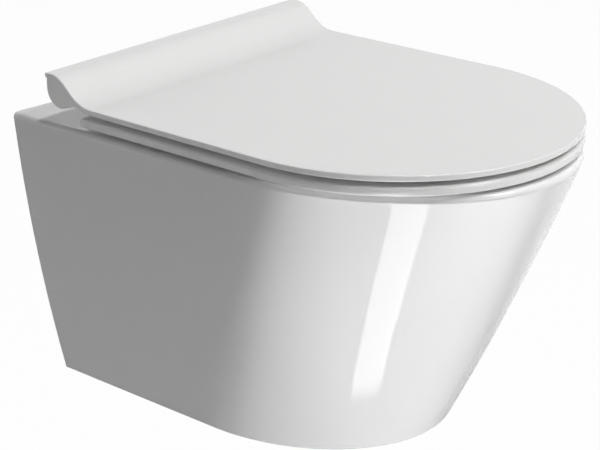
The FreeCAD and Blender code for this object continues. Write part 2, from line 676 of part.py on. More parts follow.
def post_sleeve(side):
    x = side * HINGE_HOLE_X
    bottom, top = (x, HINGE_Y, POST_SLEEVE_BOTTOM_Z), (x, HINGE_Y, DECK_Z)
    return tube(bottom, top, HINGE_HOLE_R - SLEEVE_GAP, POST_STUD_R + RUNNING_GAP)


def post_nut(side):
    x = side * HINGE_HOLE_X
    bottom, top = (x, HINGE_Y, POST_SLEEVE_BOTTOM_Z - POST_NUT_HEIGHT), (x, HINGE_Y, POST_SLEEVE_BOTTOM_Z)
    return hexagon(bottom, top, POST_NUT_FLATS, POST_STUD_R + RUNNING_GAP)


def stud_stack_y():
    """The faces of flange, washer and nut in front of the web, from the web out."""
    flange_y = WEB_FRONT_Y - STUD_FLANGE[1]
    washer_y = flange_y - STUD_WASHER[1]
    return flange_y, washer_y, washer_y - STUD_NUT_HEIGHT


def stud_sleeve(side):
    x = side * STUD_SPACING / 2
    flange_y = stud_stack_y()[0]
    barrel = tube((x, flange_y, 0), (x, 0, 0), STUD_HOLE_R - SLEEVE_GAP, STUD_CLEARANCE_R)
    flange = tube((x, flange_y, 0), (x, WEB_FRONT_Y, 0), STUD_FLANGE[0], STUD_CLEARANCE_R)
    return barrel.fuse(flange).removeSplitter()


def stud_washer(side):
    x = side * STUD_SPACING / 2
    flange_y, washer_y, nut_y = stud_stack_y()
    return tube((x, washer_y, 0), (x, flange_y, 0), STUD_WASHER[0], STUD_CLEARANCE_R + STUD_WASHER_SLACK)


def stud_nut(side):
    x = side * STUD_SPACING / 2
    flange_y, washer_y, nut_y = stud_stack_y()
    return hexagon((x, nut_y, 0), (x, washer_y, 0), STUD_NUT_FLATS, STUD_CLEARANCE_R)


def make_inlet_seal():
    """Rubber sleeve in the flush inlet, which grips the flush pipe."""
    front_y, rear_y = INLET_SEAL_Y
    return tube((0, front_y, INLET_Z), (0, rear_y, INLET_Z), INLET_SOCKET_R, FLUSH_PIPE_R)


# ---------------------------------------------------------------- all nodes
def all_nodes():
    nodes = {
        "pan": make_pan(),
        "seat_ring": make_seat_ring(),
        "lid": make_lid(),
        "seat_bumpers": make_bumpers(SEAT_BUMPERS, SEAT_BUMPER_SIZE, DECK_Z, RING_BOTTOM_Z),
        "lid_bumpers": make_bumpers(LID_BUMPERS, LID_BUMPER_SIZE, RING_TOP_Z, LID_TOP_Z - LID_THICKNESS),
        "post_sleeves": pair(post_sleeve),
        "post_nuts": pair(post_nut),
        "stud_sleeves": pair(stud_sleeve),
        "stud_washers": pair(stud_washer),
        "stud_nuts": pair(stud_nut),
        "inlet_seal": make_inlet_seal(),
        "seat_damper": make_cartridge(seat_knuckle_start(), SEAT_CARTRIDGE_LENGTH, -1),
        "seat_bush": make_cartridge(seat_knuckle_start(), SEAT_CARTRIDGE_LENGTH, 1),
        "lid_bush": make_cartridge(lid_cartridge_start(), LID_CARTRIDGE_LENGTH, -1),
        "lid_damper": make_cartridge(lid_cartridge_start(), LID_CARTRIDGE_LENGTH, 1),
    }
    for name, side in (("left", -1), ("right", 1)):
        nodes[f"hinge_block_{name}"] = make_hinge_block(side)
        nodes[f"release_button_{name}"] = make_release_button(side)
        nodes[f"hinge_post_{name}"] = make_hinge_post(side)
        nodes[f"hinge_rosette_{name}"] = make_hinge_rosette(side)
        nodes[f"hinge_pin_{name}"] = make_hinge_pin(side)
    return nodes


def main():
    os.makedirs("parts", exist_ok=True)
    for name, shape in all_nodes().items():
        litres = shape.Volume / 1e6
        print(f"{name:24s} solids {len(shape.Solids)} volume {litres:9.4f} l valid {shape.isValid()}")
        shape.exportStep(f"parts/{name}.step")


main()
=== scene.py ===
# %% [markdown]
# # A wall hung toilet
# The pan is one casting of white glazed ceramic. A slim seat and a flat lid lie on it, and the lid rises
# into a low wing at the back, over the hinge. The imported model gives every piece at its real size, in
# metres, with the origin on the wall between the two studs, -Y to the front and +Z up. Most of the looks of
# such a plain white object come from its gloss, so the light is set up with as much care as the finishes.

# %% Load the fixed frame
import bpy
import bmesh
import math
from mathutils import Matrix, Vector


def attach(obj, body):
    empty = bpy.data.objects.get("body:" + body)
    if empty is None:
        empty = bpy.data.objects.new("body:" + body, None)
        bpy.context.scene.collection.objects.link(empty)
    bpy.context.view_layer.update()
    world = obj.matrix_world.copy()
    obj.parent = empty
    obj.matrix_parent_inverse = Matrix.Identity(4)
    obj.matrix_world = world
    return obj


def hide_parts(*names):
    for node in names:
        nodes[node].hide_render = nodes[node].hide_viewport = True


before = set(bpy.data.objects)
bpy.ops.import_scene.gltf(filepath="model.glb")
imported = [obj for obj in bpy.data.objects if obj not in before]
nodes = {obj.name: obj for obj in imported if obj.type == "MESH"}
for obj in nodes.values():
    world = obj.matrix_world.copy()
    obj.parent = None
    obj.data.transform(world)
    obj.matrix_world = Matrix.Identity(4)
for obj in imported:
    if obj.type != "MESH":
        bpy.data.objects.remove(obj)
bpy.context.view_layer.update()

# %% [markdown]
# ## The camera
# The picture looks down at the pan from the front left. A long lens keeps the two long edges of the lid
# nearly parallel. The place and the lens come from fitting the pan's outline to the photograph, and the
# camera has no roll and no shift.

# %% Camera
SENSOR_WIDTH = 36.0                       # millimetres
LENS = 106.3                              # millimetres
CAMERA_PLACE = Vector((-1.2312, -1.2284, 0.6063))
CAMERA_AIM = Vector((0.0142, -0.1902, -0.0371))


def aim(thing, target):
    """Turn a camera or a lamp so that it looks at a point."""
    thing.rotation_mode = "QUATERNION"
    thing.rotation_quaternion = (target - thing.location).to_track_quat("-Z", "Y")


def link(name, data):
    """Put new data into the scene as an object."""
    thing = bpy.data.objects.new(name, data)
    bpy.context.scene.collection.objects.link(thing)
    return thing


camera_data = bpy.data.cameras.new("camera")
camera_data.sensor_width = SENSOR_WIDTH
camera_data.lens = LENS
camera = link("camera", camera_data)
camera.location = CAMERA_PLACE
aim(camera, CAMERA_AIM)
bpy.context.scene.camera = camera
bpy.context.scene.view_settings.view_transform = "Standard"
print("camera", round((CAMERA_AIM - CAMERA_PLACE).length, 3), "m away")

# %% [markdown]
# ## Shader nodes written as sums
# A finish is easier to read as `0.05 + 0.03 * cloudy` than as a list of nodes and links. A Value is the
# output of a node, and the signs + - * and / on it add the Math nodes. A plain number may stand on either
# side of a sign.

# %% Values
class Value:
    """The output of a shader node, on which Python's own signs add Math nodes."""

    def __init__(self, recipe, socket):
        self.recipe = recipe
        self.socket = socket

    def __add__(self, other):
        return self.recipe.maths("ADD", self, other)

    def __sub__(self, other):
        return self.recipe.maths("SUBTRACT", self, other)

    def __rsub__(self, other):
        return self.recipe.maths("SUBTRACT", other, self)

    def __mul__(self, other):
        return self.recipe.maths("MULTIPLY", self, other)

    def __truediv__(self, other):
        return self.recipe.maths("DIVIDE", self, other)

    __radd__ = __add__
    __rmul__ = __mul__


print("values ready")

# %% [markdown]
# A Recipe belongs to one material or to the world. Its `node` method adds any node, with its settings first
# and then its sockets, and `finished` joins the last shader to the output.

# %% Recipes
class Recipe:
    """The node tree of one material, or of the world."""

    def __init__(self, owner):
        owner.use_nodes = True
        self.owner = owner
        self.tree = owner.node_tree
        self.tree.nodes.clear()

    def node(self, kind, settings=None, sockets=None, output=0):
        """Add a node: its settings first, then numbers, colours or Values for its sockets."""
        node = self.tree.nodes.new(kind)
        for key, setting in (settings or {}).items():
            setattr(node, key, setting)
        for key, value in (sockets or {}).items():
            if isinstance(value, Value):
                self.tree.links.new(value.socket, node.inputs[key])
            else:
                node.inputs[key].default_value = value
        return Value(self, node.outputs[output]) if node.outputs else None

    def maths(self, operation, *values):
        return self.node("ShaderNodeMath", {"operation": operation}, dict(enumerate(values)))

    def step(self, value, low, high):
        """0 below low, 1 above high, and a soft step between them."""
        settings = {"interpolation_type": "SMOOTHSTEP"}
        sockets = {"Value": value, "From Min": low, "From Max": high}
        return self.node("ShaderNodeMapRange", settings, sockets)

    def mix_colours(self, share, one, two):
        """Colour one at 0, colour two at 1. Sockets 6 and 7 and output 2 are the Mix node's colours."""
        return self.node("ShaderNodeMix", {"data_type": "RGBA"}, {0: share, 6: one, 7: two}, output=2)

    def mix_shaders(self, share, one, two):
        return self.node("ShaderNodeMixShader", None, {0: share, 1: one, 2: two})

    def finished(self, shader):
        """Make a shader the surface of the material or the world, and give that back."""
        kind = "World" if isinstance(self.owner, bpy.types.World) else "Material"
        self.node(f"ShaderNodeOutput{kind}", None, {"Surface": shader})
        return self.owner


print("recipes ready")

# %% [markdown]
# ## Patterns in the material
# Every pattern here is worked out from the place on the piece, in metres, so it keeps its real size and it
# moves with the piece when the lid opens. Noise of a few centimetres gives the slow unevenness of a casting,
# and noise of a millimetre gives the skin of a moulding.

# %% Noise, bump and the main shader
def place_on_piece(recipe):
    return recipe.node("ShaderNodeTexCoord", output="Object")


def noise(recipe, size, detail=2.0, stretch=None):
    """Noise with blobs about size metres across, squeezed or stretched by a vector of factors."""
    place = place_on_piece(recipe)
    if stretch:
        place = recipe.node("ShaderNodeVectorMath", {"operation": "MULTIPLY"}, {0: place, 1: stretch})
    return recipe.node("ShaderNodeTexNoise", None, {"Vector": place, "Scale": 1 / size, "Detail": detail})


def bump(recipe, height, depth, under=None):
    """A bump of depth metres between the lowest and the highest point of a pattern from 0 to 1."""
    sockets = {"Height": height, "Distance": depth, "Strength": 1.0}
    if under:
        sockets["Normal"] = under
    return recipe.node("ShaderNodeBump", None, sockets)


def new_finish(name):
    return Recipe(bpy.data.materials.new(name))


def surface(recipe, **sockets):
    """The main shader, with its sockets named as Base_Color, Roughness and so on."""
    named = {key.replace("_", " "): value for key, value in sockets.items()}
    return recipe.finished(recipe.node("ShaderNodeBsdfPrincipled", None, named))


def grey(level, warm=0.0):
    """An opaque grey, warmer or cooler by a small share."""
    return (level * (1 + warm), level, level * (1 - warm), 1.0)


def wear(finish, *names):
    """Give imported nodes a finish."""
    for name in names:
        nodes[name].data.materials.clear()
        nodes[name].data.materials.append(finish)
    print(", ".join(names), "in", finish.name)


print("patterns ready")

# %% [markdown]
# ## The glaze on the pan
# Sanitary glaze is sprayed on the raw casting and melts to a coat of glass about a millimetre thick. It is
# glossy and slightly wavy over some centimetres. Where nobody sees it, behind the bowl and inside the skirt,
# the body stays bare and matt, with a ragged edge of overspray. One material can show both: a mask says how
# far a point lies inside the pan's outside shape, which is a D in plan that narrows towards the floor.

# %% Where the glaze ends
DECK_Z = 0.088
BOTTOM_Z = -0.198
TOP_PLAN = (0.1805, 0.2443, 0.4933)       # half width, straight side and reach of the D at the deck
BOTTOM_PLAN = (0.1307, 0.2020, 0.3650)    # the same at the bottom edge
BULGE = (0.0058, 0.0, 0.0041)             # how far the middle stands out of a straight taper
BOWL_MIDDLE_Y = -0.296
BOWL_REACH = (0.121, 0.146)               # half width and half length of the bowl's mouth
SKIN_BORDER = (0.955, 0.975)              # the outer skin begins at this share of the D
BOWL_BORDER = (0.985, 1.005)              # and the bowl ends at this share of its mouth
DECK_BORDER = (0.074, 0.078)              # the Z of the deck's underside
WALL_BORDER = (-0.0012, -0.0004)          # the Y at which the rear face touches the wall
FACING_DOWN = (-0.05, 0.02)               # the Z of the normal, from a little down to level
OVERSPRAY = 0.03                          # how far the border wanders, as a share
OVERSPRAY_SIZE = 0.02


def split(recipe, vector):
    return [recipe.node("ShaderNodeSeparateXYZ", None, {0: vector}, output=axis) for axis in "XYZ"]


def oval(recipe, across, along):
    """The distance from the middle of an oval whose edge is at 1."""
    return recipe.maths("SQRT", across * across + along * along)


def bare_body(recipe):
    """1 on the bare clay inside the skirt and at the wall, 0 on the glazed outside, deck and bowl."""
    x, y, z = split(recipe, place_on_piece(recipe))
    down = (DECK_Z - z) / (DECK_Z - BOTTOM_Z)
    swell = 4 * down * (1 - down)
    width, straight, reach = (
        top + (bottom - top) * down + bulge * swell
        for top, bottom, bulge in zip(TOP_PLAN, BOTTOM_PLAN, BULGE))
    ahead = recipe.maths("MAXIMUM", 0.0 - y - straight, 0.0)
    skin_share = oval(recipe, x / width, ahead / (reach - straight))
    bowl_share = oval(recipe, x / BOWL_REACH[0], (y - BOWL_MIDDLE_Y) / BOWL_REACH[1])
    ragged = OVERSPRAY * noise(recipe, OVERSPRAY_SIZE, 4.0)
    inside_skin = 1 - recipe.step(skin_share + ragged, *SKIN_BORDER)
    outside_bowl = recipe.step(bowl_share + ragged, *BOWL_BORDER)
    below_deck = 1 - recipe.step(z, *DECK_BORDER)
    facing = split(recipe, recipe.node("ShaderNodeTexCoord", output="Normal"))
    looks_down = 1 - recipe.step(facing[2], *FACING_DOWN)
    out_of_sight = recipe.maths("MAXIMUM", outside_bowl, looks_down)
    at_wall = recipe.step(y, *WALL_BORDER)
    return recipe.maths("MAXIMUM", inside_skin * below_deck * out_of_sight, at_wall)


print("the D is", 2 * TOP_PLAN[0], "m wide at the deck and", 2 * BOTTOM_PLAN[0], "m at the bottom")

# %% [markdown]
# The glaze takes its colour from slow noise, as its thickness varies, and its relief from two bumps, one of
# some centimetres and one of a few millimetres. The clay is warmer, rough and grainy. One mask drives the
# colour, the roughness and the grain together, so that all three change along the same ragged line.

# %% The pan's finish
CLAY_DARK = (0.66, 0.635, 0.59, 1)
CLAY_LIGHT = (0.76, 0.74, 0.70, 1)
GLAZE_ROUGH = 0.03                        # the roughness of the glaze at its glossiest
CLAY_ROUGHER = 0.64                       # and how much rougher the clay is


def glaze_on_clay():
    recipe = new_finish("glazed_ceramic")
    bare = bare_body(recipe)
    cloudy = noise(recipe, 0.06, 3.0)
    grain = noise(recipe, 0.0008, 4.0)
    glazed_white = recipe.mix_colours(cloudy, grey(0.815), grey(0.835))
    clay_white = recipe.mix_colours(grain, CLAY_DARK, CLAY_LIGHT)
    wave = bump(recipe, noise(recipe, 0.09, 1.0), 0.00022)
    skin_of_glaze = bump(recipe, noise(recipe, 0.004, 1.0), 0.000004, wave)
    return surface(
        recipe,
        Base_Color=recipe.mix_colours(bare, glazed_white, clay_white),
        Roughness=GLAZE_ROUGH + 0.02 * cloudy + CLAY_ROUGHER * bare,
        Normal=bump(recipe, grain * bare, 0.00012, skin_of_glaze),
        IOR=1.52,
    )


wear(glaze_on_clay(), "pan")

# %% [markdown]
# ## The polished plastic of the seat and lid
# A slim seat like this is pressed from a hard thermoset, which is as white as the glaze but a touch warmer.
# Its gloss is a little softer and its skin is finer than the glaze's, so the lid's edge shows a broader,
# paler line of light. A slow noise in the roughness stands for the marks of wiping.

# %% Seat plastic
def polished_plastic():
    recipe = new_finish("polished_thermoset")
    wiped = noise(recipe, 0.05, 4.0, (1.0, 0.4, 1.0))
    skin_of_plastic = noise(recipe, 0.0022, 2.0)
    return surface(
        recipe,
        Base_Color=recipe.mix_colours(wiped, grey(0.80, 0.004), grey(0.815, 0.006)),
        Roughness=0.13 + 0.05 * wiped,
        Normal=bump(recipe, skin_of_plastic, 0.000004),
        IOR=1.5,
    )


seat_plastic = polished_plastic()
wear(seat_plastic, "lid")

# %% [markdown]
# ## Turned metal, plastic and rubber
# The fixings have plain industrial finishes, which wander a little between two colours and between two
# roughnesses. So one recipe serves them all. A slow and a fine noise together give the colour, and the fine
# one alone gives the roughness and a very low relief.

# %% The recipe for the fixings
SLOW_BLOBS = 20                           # the slow pattern's size, as a multiple of the fine one's
SLOW_SHARE = 0.6


def plain_finish(name, dark, light, rough, blob, depth, stretch=None, metal=0.0):
    """A finish whose pattern has blobs of that size and a relief of that depth, both in metres."""
    recipe = new_finish(name)
    slow = noise(recipe, SLOW_BLOBS * blob, 3.0)
    fine = noise(recipe, blob, 3.0, stretch)
    return surface(
        recipe,
        Base_Color=recipe.mix_colours(SLOW_SHARE * slow + (1 - SLOW_SHARE) * fine, dark, light),
        Roughness=rough[0] + (rough[1] - rough[0]) * fine,
        Metallic=metal,
        Normal=bump(recipe, fine, depth),
    )


print("recipe for the fixings ready")

# %% [markdown]
# Turned steel and brass show fine rings round their axis, so their noise is drawn out across it and stays
# fine along it. The covers' chrome is nearly a mirror. Zinc plating is cloudy and a little blue.

# %% Metals
RINGS_ABOUT_X = (1.0, 0.06, 0.06)         # factors on the place: the small ones draw the noise out
RINGS_ABOUT_Z = (0.06, 0.06, 1.0)
pin_steel = plain_finish(
    "turned_pin_steel", (0.50, 0.49, 0.47, 1), (0.64, 0.63, 0.61, 1), rough=(0.22, 0.34),
    blob=0.0004, depth=0.000006, stretch=RINGS_ABOUT_X, metal=1.0)
post_steel = plain_finish(
    "turned_post_steel", (0.52, 0.51, 0.49, 1), (0.66, 0.65, 0.63, 1), rough=(0.20, 0.32),
    blob=0.0004, depth=0.000006, stretch=RINGS_ABOUT_Z, metal=1.0)
chrome = plain_finish(
    "polished_chrome", grey(0.76, -0.01), grey(0.82, -0.01), rough=(0.04, 0.08),
    blob=0.0006, depth=0.000001, stretch=RINGS_ABOUT_Z, metal=1.0)
brass = plain_finish(
    "turned_brass", (0.60, 0.45, 0.22, 1), (0.78, 0.62, 0.34, 1), rough=(0.24, 0.36),
    blob=0.0004, depth=0.000008, stretch=RINGS_ABOUT_Z, metal=1.0)
zinc = plain_finish(
    "zinc_plate", (0.55, 0.57, 0.60, 1), (0.72, 0.73, 0.74, 1), rough=(0.28, 0.42),
    blob=0.0012, depth=0.000006, metal=1.0)
wear(pin_steel, "hinge_pin_left", "hinge_pin_right")

# %% [markdown]
# The hinge blocks are satin, where the seat is polished, so that scratches don't show. The buttons are grey
# and can be found by eye. Acetal and nylon keep their natural ivory. Rubber is matt, with a fine grain.

# %% Plastics and rubbers
hinge_white = plain_finish(
    "satin_hinge_plastic", grey(0.72, 0.004), grey(0.77, 0.004), rough=(0.32, 0.42),
    blob=0.0009, depth=0.00001)
button_grey = plain_finish(
    "grey_button_plastic", grey(0.30, -0.01), grey(0.36, -0.01), rough=(0.42, 0.55),
    blob=0.0006, depth=0.00002)
damper_black = plain_finish(
    "black_damper_plastic", grey(0.012), grey(0.022), rough=(0.35, 0.5), blob=0.0007, depth=0.00001)
acetal = plain_finish(
    "natural_acetal", (0.68, 0.67, 0.62, 1), (0.76, 0.75, 0.71, 1), rough=(0.38, 0.5),
    blob=0.0008, depth=0.00001)
nylon = plain_finish(
    "natural_nylon", (0.60, 0.59, 0.54, 1), (0.70, 0.69, 0.65, 1), rough=(0.42, 0.55),
    blob=0.0009, depth=0.00002)
black_rubber = plain_finish(
    "black_rubber", grey(0.012), grey(0.03), rough=(0.6, 0.8), blob=0.0007, depth=0.00004)
pale_rubber = plain_finish(
    "pale_grey_rubber", grey(0.62), grey(0.70), rough=(0.5, 0.65), blob=0.0007, depth=0.00003)
wear(hinge_white, "hinge_block_left", "hinge_block_right")
wear(button_grey, "release_button_left", "release_button_right")
wear(damper_black, "seat_damper", "lid_damper")
wear(acetal, "seat_bush", "lid_bush")

# %% [markdown]
# ## Pieces made of rings
# Nuts, posts, sleeves and pads are all stacks of closed rings of points. Faces between neighbouring rings
# make the skin, and a ring's radius may change round its axis, which gives a hexagon or a thread. The packed
# solids of these pieces are plain cylinders and prisms, so each one here is made again with its chamfers,
# threads and ribs, at the same place and inside the same sizes.

# %% Rings to a skin
def skin(rings, closed=False, caps=False):
    """A mesh of the faces between rings. closed joins the last ring to the first; caps fills both ends."""
    mesh = bmesh.new()
    rows = [[mesh.verts.new(point) for point in ring] for ring in rings]
    pairs = list(zip(rows, rows[1:]))
    if closed:
        pairs.append((rows[-1], rows[0]))
    for near, far in pairs:
        for i, point in enumerate(near):
            after = (i + 1) % len(near)
            mesh.faces.new((point, near[after], far[after], far[i]))
    if caps:
        mesh.faces.new(rows[0])
        mesh.faces.new(rows[-1])
    bmesh.ops.recalc_face_normals(mesh, faces=mesh.faces)
    return mesh


def round_ring(height, radius, steps):
    """A ring about the Z axis. radius is a number, or a function of the angle and the height."""
    points = []
    for i in range(steps):
        angle = 2 * math.pi * i / steps
        reach = radius(angle, height) if callable(radius) else radius
        points.append(Vector((reach * math.cos(angle), reach * math.sin(angle), height)))
    return points


def stack(profile, steps=48):
    """The rings of a profile of (height, radius) pairs."""
    return [round_ring(height, radius, steps) for height, radius in profile]


def merged(meshes, places):
    """One mesh of several, each moved to its place."""
    whole = bpy.data.meshes.new("whole")
    total = bmesh.new()
    for mesh, place in zip(meshes, places):
        mesh.transform(place)
        mesh.to_mesh(whole)
        mesh.free()
        total.from_mesh(whole)
    bpy.data.meshes.remove(whole)
    return total


print("rings ready")

# %% [markdown]
# A finished mesh becomes a piece of the model. It rides on a body, so that it moves with that body's joint.
# Where it stands for imported nodes, these are hidden. Faces are smooth except across sharp edges, so that
# rounded edges need only a few rings.

# %% From a mesh to a piece
SHARP = math.radians(32)                  # an edge that turns by more than this is drawn sharp


def piece(name, mesh, finish, body, slot, *replaced):
    """Make a named piece that rides on a body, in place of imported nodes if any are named."""
    data = bpy.data.meshes.new(name)
    mesh.to_mesh(data)
    mesh.free()
    for face in data.polygons:
        face.use_smooth = True
    data.set_sharp_from_angle(angle=SHARP)
    data.materials.append(finish)
    made = link(name, data)
    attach(made, body)
    if replaced:
        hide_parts(*replaced)
    print(name, len(data.polygons), "faces on", body)


print("pieces are smooth below", round(math.degrees(SHARP)), "degrees")

# %% [markdown]
# ## Threads and hexagons
# A thread is a radius that rises and falls once every pitch, and that slips by one pitch in each turn. A
# hexagon is a radius that is longest at six corners, and a nut's chamfer is the smaller of that radius and a
# cone's. That cuts the corners along the curved line that every turned nut has.

# %% Radii of threads and hexagons
def thread(radius, depth, pitch):
    """A radius that winds between radius and radius - depth, once every pitch."""
    def reach(angle, height):
        turn = (height / pitch - angle / (2 * math.pi)) % 1.0
        return radius - depth * abs(2 * turn - 1)
    return reach


def hexagon(flats, cone=None):
    """Half the width across flats at the flats, more at the corners, and never more than cone."""
    def reach(angle, height):
        off = (angle + math.pi / 6) % (math.pi / 3) - math.pi / 6
        corner = flats / 2 / math.cos(off)
        return min(corner, cone) if cone else corner
    return reach


RINGS_PER_PITCH = 6


def climb(start, end, pitch, radius):
    """The (height, radius) pairs of a thread."""
    count = max(2, round(abs(end - start) / pitch * RINGS_PER_PITCH))
    return [(start + (end - start) * i / count, radius) for i in range(count + 1)]


CHAMFER_SLOPE = 1.73                      # a nut's chamfer leans 30 degrees from its face
FACE_SHARE = 0.97                         # the round face of a nut, as a share of its flats
CHAMFER_REACH = 1.1                       # it takes a little more off than the corners
THREAD_DEPTH = 0.6                        # the depth of a thread, as a share of its pitch


def nut(flats, height, bore, pitch):
    """A chamfered hexagon nut with a threaded bore, from 0 to height on Z."""
    chamfer = CHAMFER_REACH * flats * (1 / math.sqrt(3) - 0.5) / CHAMFER_SLOPE
    outside = []
    for share in (0.0, 0.25, 0.5, 0.75, 1.0):
        cone = flats / 2 * FACE_SHARE + chamfer * share * CHAMFER_SLOPE
        outside.append((chamfer * share, hexagon(flats, cone)))
    upper = [(height - h, r) for h, r in reversed(outside)]
    depth = THREAD_DEPTH * pitch
    mouth, mouth_depth = bore + 1.2 * depth, 0.6 * depth
    inside = climb(height - mouth_depth, mouth_depth, pitch, thread(bore + depth, depth, pitch))
    profile = outside + upper + [(height, mouth)] + inside + [(0, mouth)]
    return skin(stack(profile, 72), closed=True)


print("threads and hexagons ready")

# %% [markdown]
# ## The nuts and washers on the wall studs
# Two M12 nuts hold the pan to the wall. Each one bears on a pressed washer with a rounded edge, and that
# bears on the flange of a nylon sleeve, which keeps the steel off the ceramic. They stand on axes along Y.

# %% Wall fixings
MM = 0.001
SIDES = (("left", -1), ("right", 1))      # a name, and the sign of X
STUD_X = 90 * MM
WEB_Y = -28 * MM                          # the front of the web that the studs pass
FLANGE = (18 * MM, 3 * MM)                # radius and thickness
BARREL_R = 10.7 * MM                      # the sleeve where it passes the web
WASHER = (16 * MM, 2.5 * MM)
STUD_BORE = 6.1 * MM
STUD_NUT = (19 * MM, 10.5 * MM)           # width across flats and height
STUD_PITCH = 1.75 * MM


def along_y(x, y, z):
    """A place whose Z axis points out of the wall, along -Y."""
    return Matrix.Translation((x, y, z)) @ Matrix.Rotation(math.pi / 2, 4, "X")


def pair_of(make, y):
    """Two of a kind in one mesh, on the left and the right stud."""
    return merged([make(), make()], [along_y(side * STUD_X, y, 0) for _, side in SIDES])


def washer():
    radius, height = WASHER
    bore = STUD_BORE + 0.4 * MM
    soft = 0.7 * MM
    profile = [(0, bore), (0, radius - 0.2 * MM), (0.2 * MM, radius), (height - soft, radius),
               (height - 0.3 * soft, radius - 0.3 * soft), (height, radius - soft),
               (height, bore + 0.3 * MM), (height - 0.3 * MM, bore)]
    return skin(stack(profile, 64), closed=True)


def stud_sleeve():
    """A flange from 0 up, and below it a barrel through the web to the wall."""
    radius, height = FLANGE
    profile = [(WEB_Y, STUD_BORE), (WEB_Y, BARREL_R - 0.8 * MM), (WEB_Y + 2 * MM, BARREL_R),
               (0, BARREL_R), (0, radius - 0.4 * MM), (0.4 * MM, radius), (height - 0.8 * MM, radius),
               (height - 0.2 * MM, radius - 0.5 * MM), (height, radius - 1.2 * MM),
               (height, STUD_BORE + 0.5 * MM), (height - 0.5 * MM, STUD_BORE)]
    return skin(stack(profile, 64), closed=True)


def stud_nut():
    return nut(*STUD_NUT, STUD_BORE - 0.55 * MM, STUD_PITCH)


flange_y = WEB_Y - FLANGE[1]
washer_y = flange_y - WASHER[1]
piece("stud_sleeves_moulded", pair_of(stud_sleeve, WEB_Y), nylon, "pan", "sleeve_plastic",
      "stud_sleeves")
piece("stud_washers_pressed", pair_of(washer, flange_y), zinc, "pan", "zinc_steel", "stud_washers")
piece("stud_nuts_threaded", pair_of(stud_nut, washer_y), zinc, "pan", "zinc_steel", "stud_nuts")

# %% [markdown]
# ## The posts of the hinge
# Each hinge block drops over a turned post. Below the deck the post goes on as an M8 stud in a ribbed rubber
# sleeve, which spreads when the brass nut is done up and so grips the hole. The groove near the post's top
# is for the catch, and the chrome cover under it hides the hole.

# %% Posts
HINGE_X = 77.5 * MM
HINGE_Y = -58.5 * MM
POST_R = 5 * MM
GROOVE_R = 4.2 * MM
STUD_R = 4 * MM
POST_TOP = 107 * MM
POST_FOOT = 92 * MM                       # where the thick post begins, level with the cover's top
GROOVE = (96.6 * MM, 99.6 * MM)           # low and high
STUD_END = 36 * MM
THREAD_END = 62 * MM
FINE_PITCH = 1.25 * MM


def upright(side, height=0.0):
    return Matrix.Translation((side * HINGE_X, HINGE_Y, height))


def post():
    winding = thread(STUD_R, 0.6 * MM, FINE_PITCH)
    profile = [(STUD_END, 2.6 * MM), (STUD_END + 0.8 * MM, 3.3 * MM)]
    profile += climb(STUD_END + 1.4 * MM, THREAD_END, FINE_PITCH, winding)
    profile += [(THREAD_END + 1 * MM, STUD_R), (POST_FOOT, STUD_R), (POST_FOOT, POST_R - 0.3 * MM),
                (POST_FOOT + 0.3 * MM, POST_R), (GROOVE[0], POST_R), (GROOVE[0] + 0.3 * MM, GROOVE_R),
                (GROOVE[1] - 0.3 * MM, GROOVE_R), (GROOVE[1], POST_R), (POST_TOP - 1 * MM, POST_R),
                (POST_TOP - 0.3 * MM, POST_R - 0.7 * MM), (POST_TOP, POST_R - 1.4 * MM)]
    return skin(stack(profile, 40), caps=True)


print("posts stand", 2 * HINGE_X, "m apart")

# %% [markdown]
# A cover is spun from sheet. Only its outside shows, so it is made as a solid disc: a profile with a rounded
# edge and one shallow groove, turned round the post. The edge is a quarter circle of points, because it is
# what catches the light when the lid is up.

# %% Covers
COVER = (88 * MM, POST_FOOT)              # low and high
COVER_R = 20 * MM
COVER_EDGE = 1.2 * MM                     # the radius of its rounded edge
COVER_HOLE = 4.1 * MM
COVER_GROOVE = (17.6 * MM, 17.2 * MM, 16.6 * MM, 16.2 * MM)       # its rim, floor, floor and rim
GROOVE_DEPTH = 0.25 * MM


def cover():
    low, high = COVER
    profile = [(low, COVER_HOLE), (low, COVER_R - 0.4 * MM), (low + 0.4 * MM, COVER_R)]
    for degrees in range(0, 91, 15):
        turn = math.radians(degrees)
        radius = COVER_R - COVER_EDGE * (1 - math.cos(turn))
        profile.append((high - COVER_EDGE * (1 - math.sin(turn)), radius))
    for radius, depth in zip(COVER_GROOVE, (0, GROOVE_DEPTH, GROOVE_DEPTH, 0)):
        profile.append((high - depth, radius))
    profile.append((high, COVER_HOLE))
    return skin(stack(profile, 96), closed=True)


for name, side in SIDES:
    post_mesh = merged([post()], [upright(side)])
    cover_mesh = merged([cover()], [upright(side)])
    piece(f"hinge_post_{name}_turned", post_mesh, post_steel, "pan", "hinge_steel",
          f"hinge_post_{name}")
    piece(f"cover_{name}_spun", cover_mesh, chrome, "pan", "rosette_chrome", f"hinge_rosette_{name}")

# %% [markdown]
# The rubber sleeve is plain where it fills the hole and ribbed below it, where the nut squeezes it. The nut
# is brass, which doesn't rust and doesn't bind on the steel stud.

# %% Sleeves and nuts under the deck
SLEEVE = (52 * MM, 88 * MM)               # low and high
SLEEVE_R = 7.7 * MM
SLEEVE_BORE = STUD_R + 0.05 * MM
RIB_PITCH = 3 * MM
RIB_SHAPE = ((0.0, 0.0), (0.2, 0.5 * MM), (0.5, 0.6 * MM), (0.8, 0.5 * MM))     # share of the pitch, inset
DECK_UNDERSIDE = 74 * MM
POST_NUT = (15 * MM, 9 * MM)              # width across flats and height


